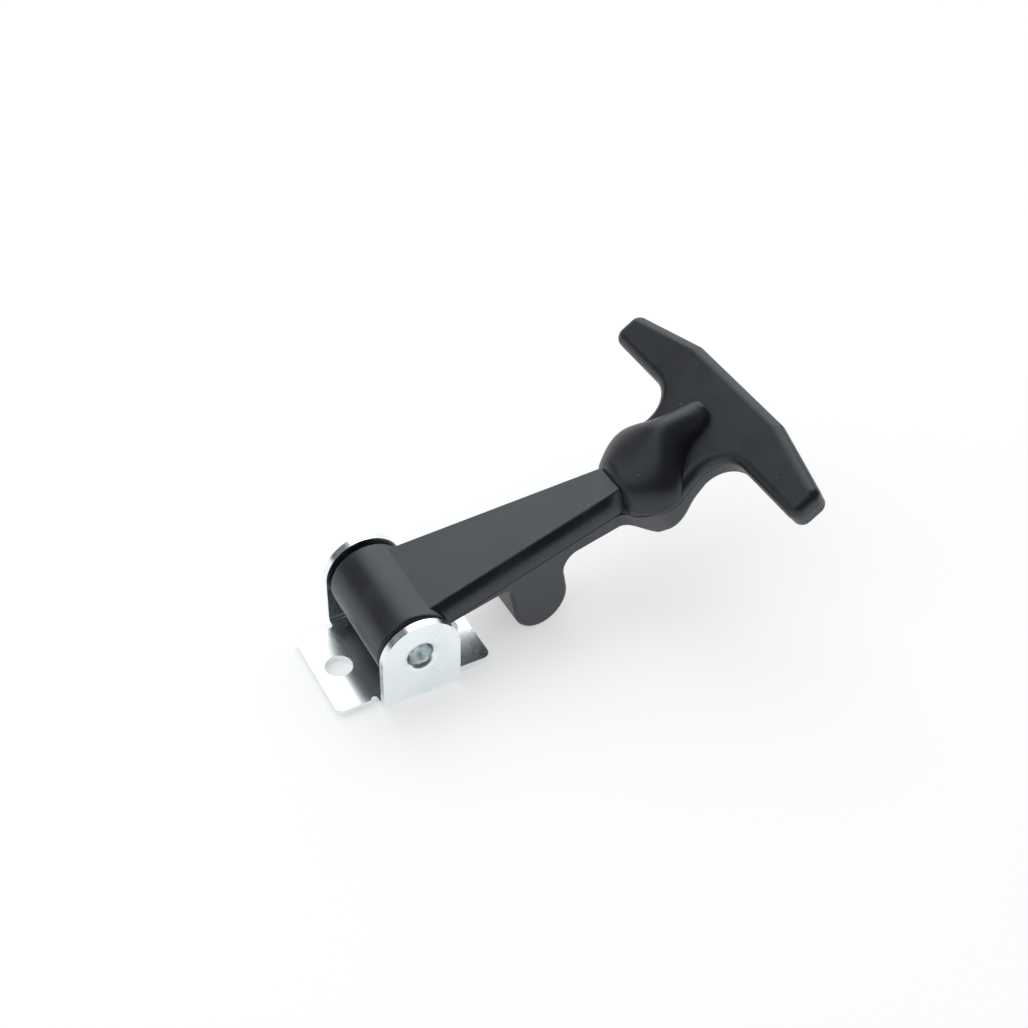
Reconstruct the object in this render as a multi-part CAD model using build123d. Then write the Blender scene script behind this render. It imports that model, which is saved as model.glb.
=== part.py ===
from build123d import *
import os
from math import cos, pi, radians, sin, tan

# Rubber T-handle draw latch: a folded steel bracket and a one-piece moulded rubber handle.
# Millimetres. X runs along the handle, Y along the pivot, Z up.
# The origin is the centre of the base plate's underside.

# --- Bracket: folded sheet -------------------------------------------------
plate_length = 38.1
plate_width = 25.4
sheet = 1.8
corner_radius = 2.0
hole_spacing = 26.6
hole_radius = 3.25
ear_gap = 28.6
ear_width = 18.8
bend_radius = 1.0
relief_width = 1.6

# --- Pivot: bosses drawn inwards from the ears, in sockets of the rubber ---
pivot_height = 13.75
boss_radius = 3.9
boss_reach = 4.6
boss_wall = 1.1
boss_nose_radius = 1.0
dimple_floor_radius = 2.0
dimple_mouth_radius = 3.2
dimple_mouth_round = 1.6
dimple_floor_round = 0.9
pivot_clearance = 0.05
socket_end_clearance = 0.6

# --- Handle: the round barrel ----------------------------------------------
barrel_radius = 9.1
barrel_side_clearance = 1.2
barrel_edge_round = 0.9

# --- Handle: the stretching bar --------------------------------------------
bar_pitch = 10.2
bar_length = 55.8
bar_root_half_width = 12.1
bar_end_half_width = 5.25
bar_flank_swell = 0.55
bar_height = 7.0
bar_top_edge_round = 0.5
bar_depth_root = 0.9
bar_depth_end = 4.8
barrel_blend = 2.0
lower_edge_round = 1.0
bar_run_on = 3.0

# --- Handle: the grip, which turns up from the bar -------------------------
grip_pitch = 34.5
bend_lead = 7.1
grip_height = 3.2
grip_depth = 4.4
grip_top_round = 2.4
grip_bottom_round = 1.5
shoulder_lead = 1.3
shoulder_start_round = 2.0
shoulder_half_width = 13.3
shoulder_place = 3.2
shoulder_round = 8.0
neck_half_width = 11.1
neck_place = 14.1
neck_round = 7.5
arm_inner = 22.1
arm_outer = 35.4
arm_tip_outer = 30.4
arm_flat_half = 16.6
arm_half_span = 37.9
arm_tip_round = 2.8
arm_corner_round = 2.0
belly_depth = 10.0
belly_lead = 7.8
belly_run_out = 4.0
belly_run_in = 2.0

# --- Handle: the dome that runs from the bar's end on to the grip ----------
# Each arch: distance past the bar's end, half-width, height of its straight sides, height of its top
dome_arches = [
    (2.9, 7.4, 0.8, 8.4),
    (10.0, 12.0, 0.8, 9.5),
    (15.5, 11.9, 1.2, 10.3),
    (21.0, 6.8, 3.2, 10.8),
    (27.0, 3.9, 4.3, 8.8),
    (32.6, 1.3, 5.4, 6.7),
]
dome_front_round = 3.6
dome_nose_round = 0.9

# --- Handle: the hook below the bar ----------------------------------------
hook_place = 33.1
hook_radius = 7.3
hook_fillet_front = 4.0
hook_fillet_back = 2.0

# The lower mould half stands slightly inside the upper one
mould_step = 0.3
mould_overlap = 0.8

# --- Frames ------------------------------------------------------------------
bend_turn = radians(grip_pitch - bar_pitch)
bend_centre = bar_length + bend_lead
bend_path_radius = bend_lead / tan(bend_turn / 2)
bend_arc = bend_path_radius * bend_turn
grip_start = bar_length + bend_arc
bar_stop = bar_length + bar_run_on
# Tools that cut through a face stand out of it by this much
cut_margin = 1.0
# Half the size of the blanks that the handle's side and plan views are cut from
blank_reach = 2 * arm_half_span
# A face counts as looking down when its normal is within 45 degrees of down
looking_down = cos(pi / 4)


def tilted(origin, pitch):
    a = radians(pitch)
    return Plane(origin=origin, x_dir=(cos(a), 0, sin(a)), z_dir=(-sin(a), 0, cos(a)))


bar_frame = tilted((0, 0, pivot_height), bar_pitch)
grip_frame = tilted(bar_frame.from_local_coords((bend_centre, 0, 0)), grip_pitch)


def path_frame(distance):
    """Point and pitch on the parting surface, at a distance from the pivot."""
    if distance <= bar_length:
        return bar_frame.from_local_coords((distance, 0, 0)), bar_pitch
    turned = min(distance - bar_length, bend_arc) / bend_path_radius
    along = bar_length + bend_path_radius * sin(turned)
    up = bend_path_radius * (1 - cos(turned))
    beyond = max(distance - grip_start, 0)
    point = bar_frame.from_local_coords(
        (along + beyond * cos(turned), 0, up + beyond * sin(turned))
    )
    return point, bar_pitch + turned * 180 / pi


def in_side_view(along, height):
    """Side-view point (x, z) in the bar's straight frame."""
    point = bar_frame.from_local_coords((along, 0, height))
    return (point.X, point.Z)


def off_path(distance, height):
    """Side-view point (x, z) at a height over the parting surface."""
    point, pitch = path_frame(distance)
    a = radians(pitch)
    return (point.X - height * sin(a), point.Z + height * cos(a))


# --- Bracket -----------------------------------------------------------------
def make_bracket():
    ear_inner = ear_gap / 2
    ear_outer = ear_inner + sheet
    ear_top = pivot_height + ear_width / 2
    plate = extrude(
        RectangleRounded(plate_length, plate_width, corner_radius), sheet
    )
    channel_outer = Rectangle(2 * ear_outer, ear_top, align=(Align.CENTER, Align.MIN))
    channel_outer = fillet(channel_outer.vertices().sort_by(Axis.Y)[:2], bend_radius + sheet)
    channel_inner = Pos(0, sheet) * Rectangle(
        2 * ear_inner, ear_top, align=(Align.CENTER, Align.MIN)
    )
    channel_inner = fillet(channel_inner.vertices().sort_by(Axis.Y)[:2], bend_radius)
    channel = extrude(Plane.YZ * (channel_outer - channel_inner), ear_width / 2, both=True)
    outline = Rectangle(ear_width, pivot_height, align=(Align.CENTER, Align.MIN))
    outline += Pos(0, pivot_height) * Circle(ear_width / 2)
    channel &= extrude(Plane.XZ * outline, ear_outer + cut_margin, both=True)
    bracket = plate + channel
    for side in (-1, 1):
        for end in (-1, 1):
            notch = Pos(end * (ear_width / 2 + relief_width / 2), side * plate_width / 2, 0)
            bracket -= notch * Cylinder(relief_width / 2, 2 * (sheet + cut_margin))
        bracket -= Pos(side * hole_spacing / 2, 0, 0) * Cylinder(hole_radius, 2 * (sheet + cut_margin))
    for side in (-1, 1):
        boss, cavity = make_pivot_boss(side)
        bracket = bracket + boss - cavity
    return bracket


def make_pivot_boss(side):
    """A cup drawn inwards from one ear: the boss and the hollow inside it."""
    face = ear_gap / 2
    nose = face - boss_reach
    solid_profile = make_face(
        Polyline(
            (0, nose),
            (boss_radius, nose),
            (boss_radius, face + sheet / 2),
            (0, face + sheet / 2),
            close=True,
        )
    )
    tip = solid_profile.vertices().sort_by(Axis.Y)[:2].sort_by(Axis.X)[-1]
    solid_profile = fillet(tip, boss_nose_radius)
    # The hollow narrows inwards and opens at the ear's face with a soft lip
    floor = nose + boss_wall
    outside = face + sheet
    beyond = outside + cut_margin
    lip = dimple_mouth_radius + 2 * dimple_mouth_round
    hollow_profile = make_face(
        Polyline(
            (0, floor),
            (dimple_floor_radius, floor),
            (dimple_mouth_radius, outside),
            (lip, outside),
            (lip, beyond),
            (0, beyond),
            close=True,
        )
    )
    for corner, radius in (
        ((dimple_mouth_radius, outside), dimple_mouth_round),
        ((dimple_floor_radius, floor), dimple_floor_round),
    ):
        vertex = hollow_profile.vertices().sort_by_distance((*corner, 0))[0]
        hollow_profile = fillet(vertex, radius)
    placed = Plane(origin=(0, 0, pivot_height), x_dir=(1, 0, 0), z_dir=(0, 0, 1))
    boss = revolve(placed * solid_profile, Axis((0, 0, pivot_height), (0, 1, 0)))
    hollow = revolve(placed * hollow_profile, Axis((0, 0, pivot_height), (0, 1, 0)))
    if side < 0:
        boss = mirror(boss, Plane.XZ)
        hollow = mirror(hollow, Plane.XZ)
    return boss, hollow


# --- Handle: side views, extruded across, and plan views, extruded through ---
def across(profile_points):
    """A solid right across the handle from a closed side view of points and curves."""
    return extrude(Plane.XZ * make_face(profile_points), blank_reach, both=True)


def barrel():
    """The round root that turns between the ears."""
    half = ear_gap / 2 - barrel_side_clearance
    body = Cylinder(barrel_radius, 2 * half, rotation=(90, 0, 0))
    body = fillet(body.edges().filter_by(GeomType.CIRCLE), barrel_edge_round)
    return Pos(0, 0, pivot_height) * body


def sockets():
    """The two blind holes in the barrel's ends that the bosses turn in."""
    floor = ear_gap / 2 - boss_reach - socket_end_clearance
    depth = ear_gap / 2 - floor
    hole = Cylinder(boss_radius + pivot_clearance, depth, rotation=(90, 0, 0))
    middle = floor + depth / 2
    return [Pos(0, side * middle, pivot_height) * hole for side in (-1, 1)]


def bar_half_width(along):
    slope = (bar_end_half_width - bar_root_half_width) / bar_length
    return bar_root_half_width + slope * along


def bar_plan(inset):
    near = bar_half_width(0) - inset
    far = bar_half_width(bar_stop) - inset
    return make_face(Polyline((0, -near), (bar_stop, -far), (bar_stop, far), (0, near), close=True))


def bar_section(along):
    """Section of the upper half: a flat top, and flanks that swell to the parting surface."""
    half = bar_half_width(along)
    top = half - bar_flank_swell
    outline = (
        TangentArc((half, 0), (top, bar_height), tangent=(0, 1))
        + Line((top, bar_height), (-top, bar_height))
        + TangentArc((-half, 0), (-top, bar_height), tangent=(0, 1))
        + Line((-half, 0), (half, 0))
    )
    return section_plane(along) * make_face(outline)


def section_plane(distance):
    """Plane square to the parting surface: X across the handle, Y up from the surface."""
    point, pitch = path_frame(distance)
    a = radians(pitch)
    return Plane(origin=point, x_dir=(0, 1, 0), z_dir=(cos(a), 0, sin(a)))


def grip_plan(inset):
    """The T and its shoulder, seen square to the grip."""
    start = (shoulder_lead - bend_lead) * cos(bend_turn)
    half = [
        (start - bar_run_on, bar_end_half_width),
        (start, bar_end_half_width),
        (shoulder_place, shoulder_half_width),
        (neck_place, neck_half_width),
        (arm_inner, neck_half_width),
        (arm_inner, arm_half_span),
        (arm_tip_outer, arm_half_span),
        (arm_outer, arm_flat_half),
    ]
    rounds = [
        None,
        shoulder_start_round,
        shoulder_round,
        None,
        neck_round,
        arm_tip_round,
        arm_tip_round,
        arm_corner_round,
    ]
    outline = half + [(x, -y) for x, y in reversed(half)]
    face = make_face(Polyline(*outline, close=True))
    for (x, y), radius in zip(half, rounds):
        if radius is None:
            continue
        for side in (-1, 1):
            corner = face.vertices().sort_by_distance((x, side * y, 0))[0]
            face = fillet(corner, radius)
    if inset:
        face = offset(face, -inset, kind=Kind.INTERSECTION)
    return face


def upper_half():
    """Bar and grip above the parting surface."""
    # A hollow round leads from the barrel on to the bar's flat top
    reach = barrel_radius + barrel_blend
    rise = bar_height + barrel_blend
    foot = (reach**2 - rise**2) ** 0.5
    shrink = barrel_radius / reach
    on_barrel = in_side_view(foot * shrink, rise * shrink)
    on_bar = in_side_view(foot, bar_height)
    bar_side = Polyline(
        on_bar,
        in_side_view(bar_stop, bar_height),
        in_side_view(bar_stop, 0),
        in_side_view(0, 0),
        in_side_view(0, rise * shrink),
        on_barrel,
    )
    bar_side += RadiusArc(on_barrel, on_bar, -barrel_blend)
    bar_body = across(bar_side) & loft([bar_section(0), bar_section(bar_stop)])
    flats = bar_body.faces().filter_by(GeomType.PLANE)
    top = flats.sort_by(Axis(bar_frame.origin, bar_frame.z_dir))[-1]
    long_edges = top.edges().sort_by(SortBy.LENGTH)[-2:]
    bar_body = fillet(long_edges, bar_top_edge_round)

    grip_body = extrude(grip_frame * grip_plan(0), grip_height)
    top = grip_body.faces().sort_by(Axis(grip_frame.origin, grip_frame.z_dir))[-1]
    grip_body = fillet(top.edges(), grip_top_round)
    skirt = extrude(grip_frame * grip_plan(0), -barrel_radius)
    grip_body = grip_body + skirt - across(under_parting())
    return bar_body, grip_body


def under_parting():
    """Side view of all that lies below the bent part of the parting surface."""
    first = 0
    last = grip_start + arm_outer
    drop = -blank_reach
    return (
        Line(off_path(first, 0), off_path(bar_length, 0))
        + ThreePointArc(
            off_path(bar_length, 0),
            off_path(bar_length + bend_arc / 2, 0),
            off_path(grip_start, 0),
        )
        + Line(off_path(grip_start, 0), off_path(last, 0))
        + Polyline(off_path(last, 0), off_path(last, drop), off_path(first, drop), off_path(first, 0))
    )


def lower_bar():
    """Bar and hook below the parting surface, a little inside the upper half."""
    along_bar = [
        (0, mould_overlap),
        (bar_stop, mould_overlap),
        (bar_stop, -bar_depth(bar_stop)),
        (0, -bar_depth(0)),
    ]
    bar_side = make_face(Polyline(*[in_side_view(x, z) for x, z in along_bar], close=True))
    # The hook's bottom rests level with the plate's underside
    a = radians(bar_pitch)
    hook_drop = (pivot_height + hook_place * sin(a) - hook_radius) / cos(a)
    hook_centre = off_path(hook_place, -hook_drop)
    tongue = Circle(hook_radius)
    tongue += Pos(0, hook_drop / 2) * Rectangle(2 * hook_radius, hook_drop)
    hook_side = Location((hook_centre[0], hook_centre[1], 0), (0, 0, 1), bar_pitch) * tongue
    bar_side = bar_side + hook_side
    for side, radius in ((-1, hook_fillet_back), (1, hook_fillet_front)):
        place = hook_place + side * hook_radius
        corner = in_side_view(place, -bar_depth(place))
        nearest = bar_side.vertices().sort_by_distance((corner[0], corner[1], 0))[0]
        bar_side = fillet(nearest, radius)
    slab = extrude(Plane.XZ * bar_side, blank_reach, both=True)
    body = slab & extrude(bar_frame * bar_plan(mould_step), blank_reach, both=True)
    return fillet(lower_rims(body), lower_edge_round)


def lower_rims(body):
    """The edges where the bar's and hook's flanks turn under."""
    rims = []
    for edge in body.edges():
        middle = bar_frame.to_local_coords(edge.center())
        ends_apart = abs(edge.position_at(0).Y - edge.position_at(1).Y) > bar_end_half_width
        inside = bar_run_on < middle.X < bar_length
        if inside and not ends_apart and middle.Z < 0:
            rims.append(edge)
    return rims


def bar_depth(along):
    """How deep the bar's lower half is, at a place along the bar."""
    return bar_depth_root + (bar_depth_end - bar_depth_root) * along / bar_length


def lower_grip():
    """Belly and grip below the parting surface, a little inside the upper half."""
    first = bar_length - belly_run_in
    last = grip_start + arm_outer
    belly_end = grip_start + belly_run_out
    belly_place = bar_length + belly_lead
    start_depth = bar_depth(first)
    lower = Spline(
        off_path(first, -start_depth),
        off_path(belly_place, -belly_depth),
        off_path(belly_end, -grip_depth),
        tangents=[path_tangent(first), path_tangent(belly_end)],
    )
    side = (
        Line(off_path(first, 0), off_path(bar_length, 0))
        + ThreePointArc(
            off_path(bar_length, 0),
            off_path(bar_length + bend_arc / 2, 0),
            off_path(grip_start, 0),
        )
        + Line(off_path(grip_start, 0), off_path(last, 0))
        + Line(off_path(last, 0), off_path(last, -grip_depth))
        + Line(off_path(last, -grip_depth), off_path(belly_end, -grip_depth))
        + lower
        + Line(off_path(first, -start_depth), off_path(first, 0))
    )
    body = across(side) & extrude(grip_frame * grip_plan(mould_step), blank_reach, both=True)
    down = grip_frame.z_dir * -1
    bottom = [face for face in body.faces() if face.normal_at().dot(down) > looking_down]
    rims = [edge for face in bottom for edge in face.edges() if abs(edge.center().Y) > bar_end_half_width]
    return fillet(rims, grip_bottom_round)


def path_tangent(distance):
    a = radians(path_frame(distance)[1])
    return (cos(a), sin(a))


def dome():
    """A blunt-fronted arch that narrows and runs out over the grip."""
    sections = []
    for lead, half_width, side_height, top_height in dome_arches:
        crown = EllipticalCenterArc(
            (0, side_height), half_width, top_height - side_height, start_angle=0, arc_size=180
        )
        sides = Polyline(
            (-half_width, side_height),
            (-half_width, 0),
            (half_width, 0),
            (half_width, side_height),
        )
        sections.append(section_plane(bar_length + lead) * make_face(sides + crown))
    body = loft(sections)
    along = Axis(grip_frame.origin, grip_frame.x_dir)
    front = body.faces().sort_by(along)[0]
    body = fillet(upright_edges(front), dome_front_round)
    nose = body.faces().sort_by(along)[-1]
    return fillet(upright_edges(nose), dome_nose_round)


def upright_edges(face):
    """A face's edges other than the one that lies on the parting surface."""
    up = Axis(grip_frame.origin, grip_frame.z_dir)
    return face.edges().sort_by(up)[1:]


def make_handle():
    bar_body, grip_body = upper_half()
    handle = barrel() + bar_body + grip_body + dome() + lower_bar() + lower_grip()
    for socket in sockets():
        handle -= socket
    return handle


def main():
    os.makedirs("parts", exist_ok=True)
    export_step(make_bracket(), "parts/mounting_bracket.step")
    export_step(make_handle(), "parts/rubber_handle.step")


main()
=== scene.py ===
"""Dresses the rubber T-handle draw latch: zinc-plated bracket, moulded rubber handle, plain pale stage."""

import math

import bpy
from mathutils import Matrix, Vector


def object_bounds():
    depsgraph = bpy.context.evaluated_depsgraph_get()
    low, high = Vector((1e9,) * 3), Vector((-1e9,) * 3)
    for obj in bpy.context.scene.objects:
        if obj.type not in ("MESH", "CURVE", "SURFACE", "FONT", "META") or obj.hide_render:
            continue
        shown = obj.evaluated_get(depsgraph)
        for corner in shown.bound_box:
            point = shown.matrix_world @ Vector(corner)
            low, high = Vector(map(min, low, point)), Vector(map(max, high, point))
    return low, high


bl_info = {
    "name": "Rubber T-Handle Draw Latch",
    "version": (1, 0, 0),
    "blender": (4, 5, 0),
    "location": "View3D > Sidebar > Draw Latch",
    "description": "Finishes for a rubber T-handle draw latch and the stage it stands on",
    "category": "Object",
}

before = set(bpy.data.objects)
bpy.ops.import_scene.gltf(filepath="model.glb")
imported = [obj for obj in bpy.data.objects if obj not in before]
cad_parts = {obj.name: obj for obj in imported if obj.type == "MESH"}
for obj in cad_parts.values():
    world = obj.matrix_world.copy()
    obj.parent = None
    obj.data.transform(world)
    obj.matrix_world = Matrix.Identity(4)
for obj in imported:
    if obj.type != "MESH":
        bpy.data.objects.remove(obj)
cad_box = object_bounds()

BRACKET = "mounting_bracket"
HANDLE = "rubber_handle"

# The handle's parting surface: a plane along the bar, a bend, and a plane through the grip (metres)
PIVOT_HEIGHT = 0.01375
BAR_PITCH = math.radians(10.2)
GRIP_PITCH = math.radians(34.5)
BAR_LENGTH = 0.0558
BEND_LEAD = 0.0071
BEND_RADIUS = BEND_LEAD / math.tan((GRIP_PITCH - BAR_PITCH) / 2)
OVER_BAR = (-math.sin(BAR_PITCH), 0.0, math.cos(BAR_PITCH))



# The painted shade line at the parting: its middle, below the upper half's edge, and the half-widths it
# fades between
LINE_DROP = 0.00022
LINE_CORE = 0.00016
LINE_FADE = 0.00034
# How far the surface turns up inside the line
LINE_TURN = 1.3
# Heights between which the bar's flank turns up
FLANK_START = 0.0008
FLANK_END = 0.0072

# Colours that don't change with the settings
PLATE_DIRT = (0.10, 0.10, 0.10, 1.0)
RUBBER_DUST = (0.32, 0.32, 0.33, 1.0)
# Near-black painted shade for the gap along the parting line
PARTING_SHADE_COLOUR = (0.002, 0.002, 0.002, 1.0)
WHITE = (1.0, 1.0, 1.0, 1.0)

# Where the white wall stands, seen from the latch: behind it and to the right
BRIGHT_SIDE = (0.50, 0.75, 0.43)
# Strength of the surround: white wall and dark cards in gloss, and the same two in plain light
WALL_IN_GLOSS = 1.0
CARD_IN_GLOSS = 0.09
WALL_IN_PLAIN = 0.75
CARD_IN_PLAIN = 0.42

SENSOR_WIDTH = 36.0


# --- Node helpers --------------------------------------------------------------
def feed(tree, socket, value):
    """Links a socket to an output, or sets it to a plain value."""
    if isinstance(value, bpy.types.NodeSocket):
        tree.links.new(value, socket)
    else:
        socket.default_value = value


def add_node(tree, kind, links=None, **settings):
    """A node of this kind, with its sockets set or linked from a dictionary."""
    node = tree.nodes.new(kind)
    for name, value in settings.items():
        setattr(node, name, value)
    for name, value in (links or {}).items():
        feed(tree, node.inputs[name], value)
    return node


def math_node(tree, operation, *values, clamp=False):
    """The output of a Math node."""
    node = add_node(tree, "ShaderNodeMath", operation=operation, use_clamp=clamp)
    for socket, value in zip(node.inputs, values):
        feed(tree, socket, value)
    return node.outputs[0]


def vector_node(tree, operation, *values):
    """A Vector Math node, fed in order."""
    node = add_node(tree, "ShaderNodeVectorMath", operation=operation)
    for socket, value in zip(node.inputs, values):
        feed(tree, socket, value)
    return node


def vector_math(tree, operation, *values):
    """The vector output of a Vector Math node."""
    return vector_node(tree, operation, *values).outputs["Vector"]


def dot(tree, place, direction):
    """How far a place lies along a direction."""
    return vector_node(tree, "DOT_PRODUCT", place, direction).outputs["Value"]


def noise(tree, place, scale, detail=3.0, roughness=0.5, distortion=0.0):
    """A noise value from 0 to 1 at a place, with a feature count per metre."""
    node = add_node(
        tree,
        "ShaderNodeTexNoise",
        {
            "Vector": place,
            "Scale": scale,
            "Detail": detail,
            "Roughness": roughness,
            "Distortion": distortion,
        },
    )
    return node.outputs["Fac"]


def remap(tree, value, low, high, to_low=0.0, to_high=1.0):
    """A value moved smoothly from one range to another."""
    node = add_node(
        tree,
        "ShaderNodeMapRange",
        {
            "Value": value,
            "From Min": low,
            "From Max": high,
            "To Min": to_low,
            "To Max": to_high,
        },
        interpolation_type="SMOOTHSTEP",
    )
    return node.outputs["Result"]


def choose(tree, factor, first, second):
    """The first value where the factor is 0, the second where it is 1."""
    node = add_node(tree, "ShaderNodeMix", data_type="FLOAT")
    for index, value in ((0, factor), (2, first), (3, second)):
        feed(tree, node.inputs[index], value)
    return node.outputs[0]


def mix_colour(tree, factor, first, second):
    """The colour between two colours."""
    node = add_node(tree, "ShaderNodeMix", data_type="RGBA")
    for index, value in ((0, factor), (6, first), (7, second)):
        feed(tree, node.inputs[index], value)
    return node.outputs[2]


def shared_group(name, inputs, outputs, fill):
    """The shader group of this name, built on its first use from its named sockets."""
    if name in bpy.data.node_groups:
        return bpy.data.node_groups[name]
    tree = bpy.data.node_groups.new(name, "ShaderNodeTree")
    for socket_name, kind, default in inputs:
        socket = tree.interface.new_socket(name=socket_name, in_out="INPUT", socket_type=kind)
        if default is not None:
            socket.default_value = default
    for socket_name in outputs:
        tree.interface.new_socket(name=socket_name, in_out="OUTPUT", socket_type="NodeSocketFloat")
    entry = tree.nodes.new("NodeGroupInput")
    leave = tree.nodes.new("NodeGroupOutput")
    fill(tree, entry.outputs, leave.inputs)
    return tree


def use_group(tree, group, links):
    """A group placed in a material."""
    node = tree.nodes.new("ShaderNodeGroup")
    node.node_tree = group
    for name, value in links.items():
        feed(tree, node.inputs[name], value)
    return node


# --- Effects that the finishes share -----------------------------------------------
def fill_dust(tree, given, result):
    """Scattered specks, gathered in patches."""
    cells = add_node(
        tree,
        "ShaderNodeTexVoronoi",
        {"Vector": given["Place"], "Scale": given["Speck Scale"]},
        feature="F1",
    )
    near_centre = math_node(tree, "LESS_THAN", cells.outputs["Distance"], given["Speck Size"])
    pick = add_node(tree, "ShaderNodeSeparateColor", {"Color": cells.outputs["Color"]})
    chosen = math_node(tree, "LESS_THAN", pick.outputs["Red"], given["Share"])
    patches = remap(tree, noise(tree, given["Place"], 60.0, 2.0), 0.42, 0.62)
    mask = math_node(tree, "MULTIPLY", near_centre, chosen)
    feed(tree, result["Mask"], math_node(tree, "MULTIPLY", mask, patches))


def dust_group():
    """Fine dust: a mask of scattered specks."""
    inputs = [
        ("Place", "NodeSocketVector", None),
        ("Speck Scale", "NodeSocketFloat", 900.0),
        ("Speck Size", "NodeSocketFloat", 0.06),
        ("Share", "NodeSocketFloat", 0.5),
    ]
    return shared_group("dust_specks", inputs, ["Mask"], fill_dust)


def fill_tone(tree, given, result):
    """Broad clouds and fine grain."""
    clouds = noise(tree, given["Place"], given["Cloud Scale"], 4.0, 0.55, 0.4)
    grain = noise(tree, given["Place"], given["Grain Scale"], 3.0, 0.6)
    feed(tree, result["Clouds"], remap(tree, clouds, 0.3, 0.7))
    feed(tree, result["Grain"], remap(tree, grain, 0.25, 0.75))


def tone_group():
    """Uneven tone at two scales, each from 0 to 1."""
    inputs = [
        ("Place", "NodeSocketVector", None),
        ("Cloud Scale", "NodeSocketFloat", 70.0),
        ("Grain Scale", "NodeSocketFloat", 2200.0),
    ]
    return shared_group("uneven_tone", inputs, ["Clouds", "Grain"], fill_tone)


def fill_parting(tree, given, result):
    """The bar's plane, the bend and the grip's plane, each over its own stretch."""
    along_bar = Vector((math.cos(BAR_PITCH), 0.0, math.sin(BAR_PITCH)))
    over_bar = Vector(OVER_BAR)
    along_grip = Vector((math.cos(GRIP_PITCH), 0.0, math.sin(GRIP_PITCH)))
    over_grip = Vector((-math.sin(GRIP_PITCH), 0.0, math.cos(GRIP_PITCH)))
    pivot = Vector((0.0, 0.0, PIVOT_HEIGHT))
    corner = pivot + along_bar * (BAR_LENGTH + BEND_LEAD)
    centre = pivot + along_bar * BAR_LENGTH + over_bar * BEND_RADIUS
    from_pivot = vector_math(tree, "SUBTRACT", given["Place"], pivot)
    from_corner = vector_math(tree, "SUBTRACT", given["Place"], corner)
    from_centre = vector_math(tree, "SUBTRACT", given["Place"], centre)
    along = dot(tree, from_pivot, along_bar)
    bar_height = dot(tree, from_pivot, over_bar)
    grip_height = dot(tree, from_corner, over_grip)
    in_side_view = vector_math(tree, "MULTIPLY", from_centre, (1.0, 0.0, 1.0))
    off_centre = vector_node(tree, "LENGTH", in_side_view).outputs["Value"]
    bend_height = math_node(tree, "SUBTRACT", BEND_RADIUS, off_centre)
    past_bar = math_node(tree, "GREATER_THAN", along, BAR_LENGTH)
    past_bend = math_node(tree, "GREATER_THAN", dot(tree, from_corner, along_grip), BEND_LEAD)
    beyond = choose(tree, past_bend, bend_height, grip_height)
    feed(tree, result["Height"], choose(tree, past_bar, bar_height, beyond))
    feed(tree, result["Along"], along)


def parting_group():
    """Height over the handle's parting surface, and distance along the bar, in metres."""
    inputs = [("Place", "NodeSocketVector", None)]
    return shared_group("parting_height", inputs, ["Height", "Along"], fill_parting)


def new_material(name):
    """A material with its tree, its surface shader and the place on the object."""
    material = bpy.data.materials.new(name)
    material.use_nodes = True
    tree = material.node_tree
    shader = tree.nodes["Principled BSDF"]
    place = tree.nodes.new("ShaderNodeTexCoord").outputs["Object"]
    return material, tree, shader, place


def paint(node_name, material):
    """Gives a CAD node one material all over."""
    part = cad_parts[node_name]
    if not part.data.materials:
        part.data.materials.append(material)
    for slot in part.material_slots:
        slot.material = material


# --- Settings ------------------------------------------------------------------------
class ZincSettings(bpy.types.PropertyGroup):
    """Look of the plated bracket."""

    plate_colour: bpy.props.FloatVectorProperty(
        name="Plate colour",
        description="Colour of the bright zinc",
        subtype="COLOR",
        size=3,
        min=0.0,
        max=1.0,
        default=(0.90, 0.955, 0.965),
    )
    dull_colour: bpy.props.FloatVectorProperty(
        name="Dull colour",
        description="Colour of the zinc where it has clouded",
        subtype="COLOR",
        size=3,
        min=0.0,
        max=1.0,
        default=(0.78, 0.85, 0.87),
    )
    gloss_roughness: bpy.props.FloatProperty(
        name="Roughness",
        description="Roughness of the bright plate",
        subtype="FACTOR",
        min=0.0,
        max=1.0,
        default=0.17,
    )
    roll_mark_depth: bpy.props.FloatProperty(
        name="Rolling mark depth",
        description="Depth of the fine marks that rolling left in the sheet",
        subtype="DISTANCE",
        unit="LENGTH",
        min=0.0,
        max=0.0002,
        default=0.000004,
    )


class RubberSettings(bpy.types.PropertyGroup):
    """Look of the moulded handle."""

    rubber_colour: bpy.props.FloatVectorProperty(
        name="Rubber colour",
        description="Colour of the clean rubber",
        subtype="COLOR",
        size=3,
        min=0.0,
        max=1.0,
        default=(0.008, 0.009, 0.0115),
    )
    # This colour is both the faint grey film and a painted sheen on the lower half, standing in for the
    # floor's reflection
    grey_bloom_and_sheen_colour: bpy.props.FloatVectorProperty(
        name="Bloom colour",
        description="Colour of the faint grey film on the rubber",
        subtype="COLOR",
        size=3,
        min=0.0,
        max=1.0,
        default=(0.044, 0.047, 0.053),
    )
    satin_roughness: bpy.props.FloatProperty(
        name="Roughness",
        description="Roughness of the moulded surface",
        subtype="FACTOR",
        min=0.0,
        max=1.0,
        default=0.36,
    )
    flank_turn: bpy.props.FloatProperty(
        name="Flank turn",
        description="How far the bar's flanks turn up towards its flat top: 1 is 45 degrees",
        subtype="FACTOR",
        min=0.0,
        max=2.0,
        default=0.9,
    )
    grain_depth: bpy.props.FloatProperty(
        name="Grain depth",
        description="Depth of the mould's fine grain",
        subtype="DISTANCE",
        unit="LENGTH",
        min=0.0,
        max=0.0002,
        default=0.000006,
    )


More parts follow.
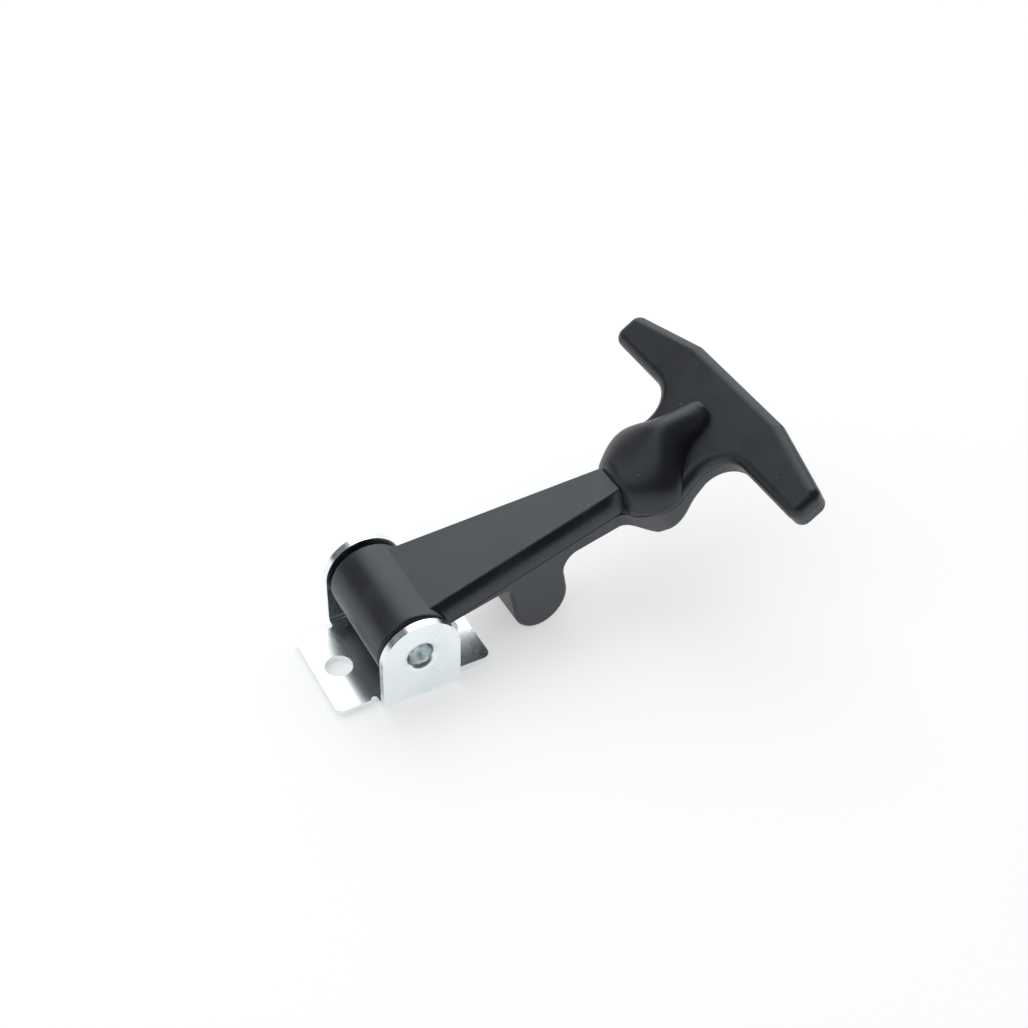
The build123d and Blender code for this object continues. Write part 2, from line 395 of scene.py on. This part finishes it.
class StageSettings(bpy.types.PropertyGroup):
    """Camera, lamps and floor."""

    camera_turn: bpy.props.FloatProperty(
        name="Camera turn",
        description="Angle of the camera round the latch, from straight in front",
        subtype="ANGLE",
        unit="ROTATION",
        default=math.radians(29.5),
    )
    camera_rise: bpy.props.FloatProperty(
        name="Camera rise",
        description="Angle of the camera above the horizon",
        subtype="ANGLE",
        unit="ROTATION",
        default=math.radians(41.84),
    )
    camera_roll: bpy.props.FloatProperty(
        name="Camera roll",
        description="Tilt of the camera about its own line of sight",
        subtype="ANGLE",
        unit="ROTATION",
        default=math.radians(1.76),
    )
    camera_distance: bpy.props.FloatProperty(
        name="Camera distance",
        description="Distance of the camera from the plate's centre, along its line of sight",
        subtype="DISTANCE",
        unit="LENGTH",
        default=0.3767,
    )
    camera_offset: bpy.props.FloatVectorProperty(
        name="Camera offset",
        description="How far the camera stands right of the plate's centre and above it, in its own view",
        subtype="XYZ",
        unit="LENGTH",
        size=2,
        default=(0.02798, 0.03175),
    )
    camera_lens: bpy.props.FloatProperty(
        name="Lens",
        description="Focal length on a 36 mm wide sensor, in millimetres",
        default=57.39,
    )
    floor_size: bpy.props.FloatProperty(
        name="Floor size",
        description="Length of each side of the floor",
        subtype="DISTANCE",
        unit="LENGTH",
        default=3.0,
    )
    floor_colour: bpy.props.FloatVectorProperty(
        name="Floor colour",
        description="Colour of the pale floor",
        subtype="COLOR",
        size=3,
        min=0.0,
        max=1.0,
        default=(0.62, 0.63, 0.635),
    )
    floor_lift: bpy.props.FloatProperty(
        name="Floor lift",
        description="Light that the floor shows of its own, which keeps the shadow faint",
        subtype="FACTOR",
        min=0.0,
        max=1.0,
        default=0.50,
    )


# --- Materials ----------------------------------------------------------------------------
def zinc_material(values):
    """Bright zinc plate on rolled sheet: faint rolling marks, clouded patches, dust."""
    material, tree, shader, place = new_material("zinc_plate")
    tone = use_group(
        tree, tone_group(), {"Place": place, "Cloud Scale": 110.0, "Grain Scale": 2600.0}
    )
    dust = use_group(
        tree,
        dust_group(),
        {"Place": place, "Speck Scale": 700.0, "Speck Size": 0.10, "Share": 0.35},
    )
    stretched = add_node(tree, "ShaderNodeMapping", {"Vector": place, "Scale": (120.0, 5200.0, 5200.0)})
    marks = noise(tree, stretched.outputs["Vector"], 1.0, 3.0, 0.6)
    plate = (*values.plate_colour, 1.0)
    dull = (*values.dull_colour, 1.0)
    colour = mix_colour(tree, math_node(tree, "MULTIPLY", tone.outputs["Clouds"], 0.5), plate, dull)
    colour = mix_colour(tree, dust.outputs["Mask"], colour, PLATE_DIRT)
    bright = values.gloss_roughness
    rough = remap(tree, tone.outputs["Clouds"], 0.0, 1.0, bright, bright + 0.10)
    rough = math_node(tree, "MULTIPLY_ADD", marks, 0.05, rough)
    rough = math_node(tree, "MULTIPLY_ADD", dust.outputs["Mask"], 0.3, rough, clamp=True)
    grain = math_node(tree, "MULTIPLY", tone.outputs["Grain"], 0.3)
    height = math_node(tree, "MULTIPLY_ADD", marks, 0.7, grain)
    bump = add_node(
        tree,
        "ShaderNodeBump",
        {"Strength": 1.0, "Distance": values.roll_mark_depth, "Height": height},
    )
    tree.links.new(colour, shader.inputs["Base Color"])
    tree.links.new(rough, shader.inputs["Roughness"])
    tree.links.new(bump.outputs["Normal"], shader.inputs["Normal"])
    shader.inputs["Metallic"].default_value = 1.0
    return material


def rubber_material(values):
    """Satin moulded rubber: a parting line painted near-black as painted shade, soft flanks, mould grain,
    a faint grey bloom, a lower half painted greyer as a painted reflection of the floor, and dust.
    """
    material, tree, shader, place = new_material("black_rubber")
    tone = use_group(
        tree, tone_group(), {"Place": place, "Cloud Scale": 75.0, "Grain Scale": 3000.0}
    )
    dust = use_group(
        tree,
        dust_group(),
        {"Place": place, "Speck Scale": 650.0, "Speck Size": 0.09, "Share": 0.12},
    )
    parting = use_group(tree, parting_group(), {"Place": place})
    height, along = parting.outputs["Height"], parting.outputs["Along"]
    # Painted shade: a near-black line where the mould halves met, just below the upper half's edge and
    # clear of the barrel, stands in for the shadow in the gap there
    off_line = math_node(tree, "ABSOLUTE", math_node(tree, "ADD", height, LINE_DROP))
    parting_shade = remap(tree, off_line, LINE_FADE, LINE_CORE)
    parting_shade = math_node(tree, "MULTIPLY", parting_shade, remap(tree, along, 0.0085, 0.0125))
    # Painted sheen: the lower half is painted greyer, standing in for the white floor's reflection, on top
    # of the faint grey film that lies in clouds
    painted_lower_sheen = remap(tree, height, 0.0, -0.0006)
    clean = (*values.rubber_colour, 1.0)
    bloom_and_sheen = (*values.grey_bloom_and_sheen_colour, 1.0)
    bloom_and_sheen_mask = math_node(tree, "MULTIPLY", tone.outputs["Clouds"], 0.25)
    bloom_and_sheen_mask = math_node(tree, "MULTIPLY_ADD", painted_lower_sheen, 0.75, bloom_and_sheen_mask, clamp=True)
    # Painted sheen and real film: the greyer colour goes on the clouds and, more strongly, on the whole
    # lower half
    colour = mix_colour(tree, bloom_and_sheen_mask, clean, bloom_and_sheen)
    colour = mix_colour(tree, dust.outputs["Mask"], colour, RUBBER_DUST)
    # Painted shade: the parting line is darkened to near black
    colour = mix_colour(tree, parting_shade, colour, PARTING_SHADE_COLOUR)
    satin = values.satin_roughness
    rough = remap(tree, tone.outputs["Clouds"], 0.0, 1.0, satin - 0.03, satin + 0.04)
    rough = math_node(tree, "MULTIPLY_ADD", tone.outputs["Grain"], 0.06, rough, clamp=True)

    # The bar's flanks are fuller than flat walls: the surface turns up towards the flat top
    on_bar = math_node(
        tree,
        "MULTIPLY",
        remap(tree, along, 0.001, 0.007),
        remap(tree, along, 0.058, 0.054),
    )
    turn_up = remap(tree, height, FLANK_START, FLANK_END, 0.0, values.flank_turn)
    turn_up = math_node(tree, "MULTIPLY", turn_up, on_bar)
    turn_up = math_node(tree, "MULTIPLY_ADD", parting_shade, LINE_TURN, turn_up)
    over_bar = add_node(
        tree,
        "ShaderNodeVectorTransform",
        {"Vector": OVER_BAR},
        vector_type="NORMAL",
        convert_from="OBJECT",
        convert_to="WORLD",
    )
    lean = add_node(tree, "ShaderNodeVectorMath", {"Scale": turn_up}, operation="SCALE")
    tree.links.new(over_bar.outputs["Vector"], lean.inputs[0])
    surface = tree.nodes.new("ShaderNodeNewGeometry").outputs["Normal"]
    leaned = vector_math(tree, "ADD", surface, lean.outputs["Vector"])
    leaned = vector_math(tree, "NORMALIZE", leaned)
    bump = add_node(
        tree,
        "ShaderNodeBump",
        {
            "Strength": 1.0,
            "Distance": values.grain_depth,
            "Height": tone.outputs["Grain"],
            "Normal": leaned,
        },
    )
    tree.links.new(colour, shader.inputs["Base Color"])
    tree.links.new(rough, shader.inputs["Roughness"])
    tree.links.new(bump.outputs["Normal"], shader.inputs["Normal"])
    shader.inputs["Specular IOR Level"].default_value = 0.68
    shader.inputs["Specular Tint"].default_value = (0.86, 0.93, 1.0, 1.0)
    return material


# --- Operators ---------------------------------------------------------------------------------
class LATCH_OT_finish_bracket(bpy.types.Operator):
    """Gives the folded bracket its bright zinc plate"""

    bl_idname = "latch.finish_bracket"
    bl_label = "Finish Bracket"

    def execute(self, context):
        material = zinc_material(context.scene.latch_zinc)
        paint(BRACKET, material)
        return {"FINISHED"}


class LATCH_OT_finish_handle(bpy.types.Operator):
    """Gives the moulded handle its satin rubber"""

    bl_idname = "latch.finish_handle"
    bl_label = "Finish Handle"

    def execute(self, context):
        material = rubber_material(context.scene.latch_rubber)
        paint(HANDLE, material)
        return {"FINISHED"}


def area_lamp(name, place, target, size, power):
    """A soft rectangular lamp aimed at a point."""
    light = bpy.data.lights.new(name, "AREA")
    light.shape = "RECTANGLE"
    light.size, light.size_y = size
    light.energy = power
    lamp = bpy.data.objects.new(name, light)
    lamp.location = place
    lamp.rotation_euler = (Vector(target) - Vector(place)).to_track_quat("-Z", "Y").to_euler()
    bpy.context.collection.objects.link(lamp)


def place_camera(values):
    """The camera, from its angles and its distance to the plate's centre."""
    turn, rise, roll = values.camera_turn, values.camera_rise, values.camera_roll
    level = Vector((-math.sin(turn), -math.cos(turn), 0.0))
    toward = level * math.cos(rise) + Vector((0.0, 0.0, math.sin(rise)))
    level_right = Vector((math.cos(turn), -math.sin(turn), 0.0))
    level_up = toward.cross(level_right)
    right = level_right * math.cos(roll) + level_up * math.sin(roll)
    up = toward.cross(right)
    camera_data = bpy.data.cameras.new("latch_camera")
    camera_data.lens = values.camera_lens
    camera_data.sensor_width = SENSOR_WIDTH
    camera_data.clip_start = 0.01
    camera = bpy.data.objects.new("latch_camera", camera_data)
    place = toward * values.camera_distance
    place += right * values.camera_offset[0] + up * values.camera_offset[1]
    turned = Matrix((right, up, toward)).transposed().to_4x4()
    camera.matrix_world = Matrix.Translation(place) @ turned
    bpy.context.collection.objects.link(camera)
    bpy.context.scene.camera = camera


def light_paths(tree):
    """Masks of gloss, of rays that see the set as it is, and of both together."""
    path = tree.nodes.new("ShaderNodeLightPath").outputs
    plain = math_node(tree, "MAXIMUM", path["Is Camera Ray"], path["Is Transmission Ray"])
    return path["Is Glossy Ray"], plain, math_node(tree, "MAXIMUM", plain, path["Is Glossy Ray"])


def floor_material(values):
    """A pale matt floor that the camera and the plate see as a white ground, with a soft shadow."""
    material, tree, shader, place = new_material("pale_floor")
    tone = use_group(tree, tone_group(), {"Place": place, "Cloud Scale": 6.0, "Grain Scale": 400.0})
    base = (*values.floor_colour, 1.0)
    worn = tuple(0.985 * part for part in values.floor_colour) + (1.0,)
    colour = mix_colour(tree, tone.outputs["Clouds"], base, worn)
    tree.links.new(colour, shader.inputs["Base Color"])
    shader.inputs["Roughness"].default_value = 0.85
    shader.inputs["Specular IOR Level"].default_value = 0.2
    _, _, seen = light_paths(tree)
    shader.inputs["Emission Color"].default_value = WHITE
    lift = math_node(tree, "MULTIPLY", seen, values.floor_lift)
    tree.links.new(lift, shader.inputs["Emission Strength"])
    return material


def world_light():
    """A surround that the camera sees white, and gloss sees with dark cards beside and overhead."""
    world = bpy.data.worlds.new("studio_surround")
    world.use_nodes = True
    tree = world.node_tree
    background = tree.nodes["Background"]
    gloss, plain, _ = light_paths(tree)
    direction = tree.nodes.new("ShaderNodeTexCoord").outputs["Generated"]
    wall = remap(tree, dot(tree, direction, Vector(BRIGHT_SIDE).normalized()), 0.62, 0.95)
    skyline = remap(tree, dot(tree, direction, (0.0, 0.0, 1.0)), 0.16, 0.02)
    wall = math_node(tree, "MAXIMUM", wall, skyline)
    in_gloss = choose(tree, wall, CARD_IN_GLOSS, WALL_IN_GLOSS)
    in_plain = choose(tree, wall, CARD_IN_PLAIN, WALL_IN_PLAIN)
    strength = choose(tree, gloss, in_plain, in_gloss)
    feed(tree, background.inputs["Strength"], choose(tree, plain, strength, 1.0))
    background.inputs["Color"].default_value = WHITE
    bpy.context.scene.world = world


class LATCH_OT_build_stage(bpy.types.Operator):
    """Adds the floor, the lamps, the surround and the camera"""

    bl_idname = "latch.build_stage"
    bl_label = "Build Stage"

    def execute(self, context):
        values = context.scene.latch_stage
        half = values.floor_size / 2
        low = cad_box[0][2]
        mesh = bpy.data.meshes.new("stage_floor")
        corners = [(-half, -half, low), (half, -half, low), (half, half, low), (-half, half, low)]
        mesh.from_pydata(corners, [], [(0, 1, 2, 3)])
        floor = bpy.data.objects.new("stage_floor", mesh)
        floor.data.materials.append(floor_material(values))
        context.collection.objects.link(floor)
        middle = tuple((a + b) / 2 for a, b in zip(*cad_box))
        area_lamp("key_softbox", (0.30, 0.50, 0.75), middle, (1.10, 0.85), 3.3)
        area_lamp("fill_softbox", (-0.45, 0.10, 0.60), middle, (0.70, 0.70), 1.2)
        world_light()
        place_camera(values)
        context.scene.view_settings.view_transform = "Standard"
        return {"FINISHED"}


class LATCH_PT_panel(bpy.types.Panel):
    """Lists the latch's finishes and the stage"""

    bl_idname = "LATCH_PT_panel"
    bl_label = "Draw Latch"
    bl_space_type = "VIEW_3D"
    bl_region_type = "UI"
    bl_category = "Draw Latch"

    def draw(self, context):
        scene = context.scene
        layout = self.layout
        for title, values, operator in (
            ("Bracket", scene.latch_zinc, "latch.finish_bracket"),
            ("Handle", scene.latch_rubber, "latch.finish_handle"),
            ("Stage", scene.latch_stage, "latch.build_stage"),
        ):
            box = layout.box()
            box.label(text=title)
            for name in values.__annotations__:
                box.prop(values, name)
            box.operator(operator)


CLASSES = (
    ZincSettings,
    RubberSettings,
    StageSettings,
    LATCH_OT_finish_bracket,
    LATCH_OT_finish_handle,
    LATCH_OT_build_stage,
    LATCH_PT_panel,
)


def register():
    for entry in CLASSES:
        bpy.utils.register_class(entry)
    bpy.types.Scene.latch_zinc = bpy.props.PointerProperty(type=ZincSettings)
    bpy.types.Scene.latch_rubber = bpy.props.PointerProperty(type=RubberSettings)
    bpy.types.Scene.latch_stage = bpy.props.PointerProperty(type=StageSettings)


def unregister():
    del bpy.types.Scene.latch_stage
    del bpy.types.Scene.latch_rubber
    del bpy.types.Scene.latch_zinc
    for entry in reversed(CLASSES):
        bpy.utils.unregister_class(entry)


def main():
    register()
    bpy.ops.latch.finish_bracket()
    bpy.ops.latch.finish_handle()
    bpy.ops.latch.build_stage()


if __name__ == "__main__":
    main()
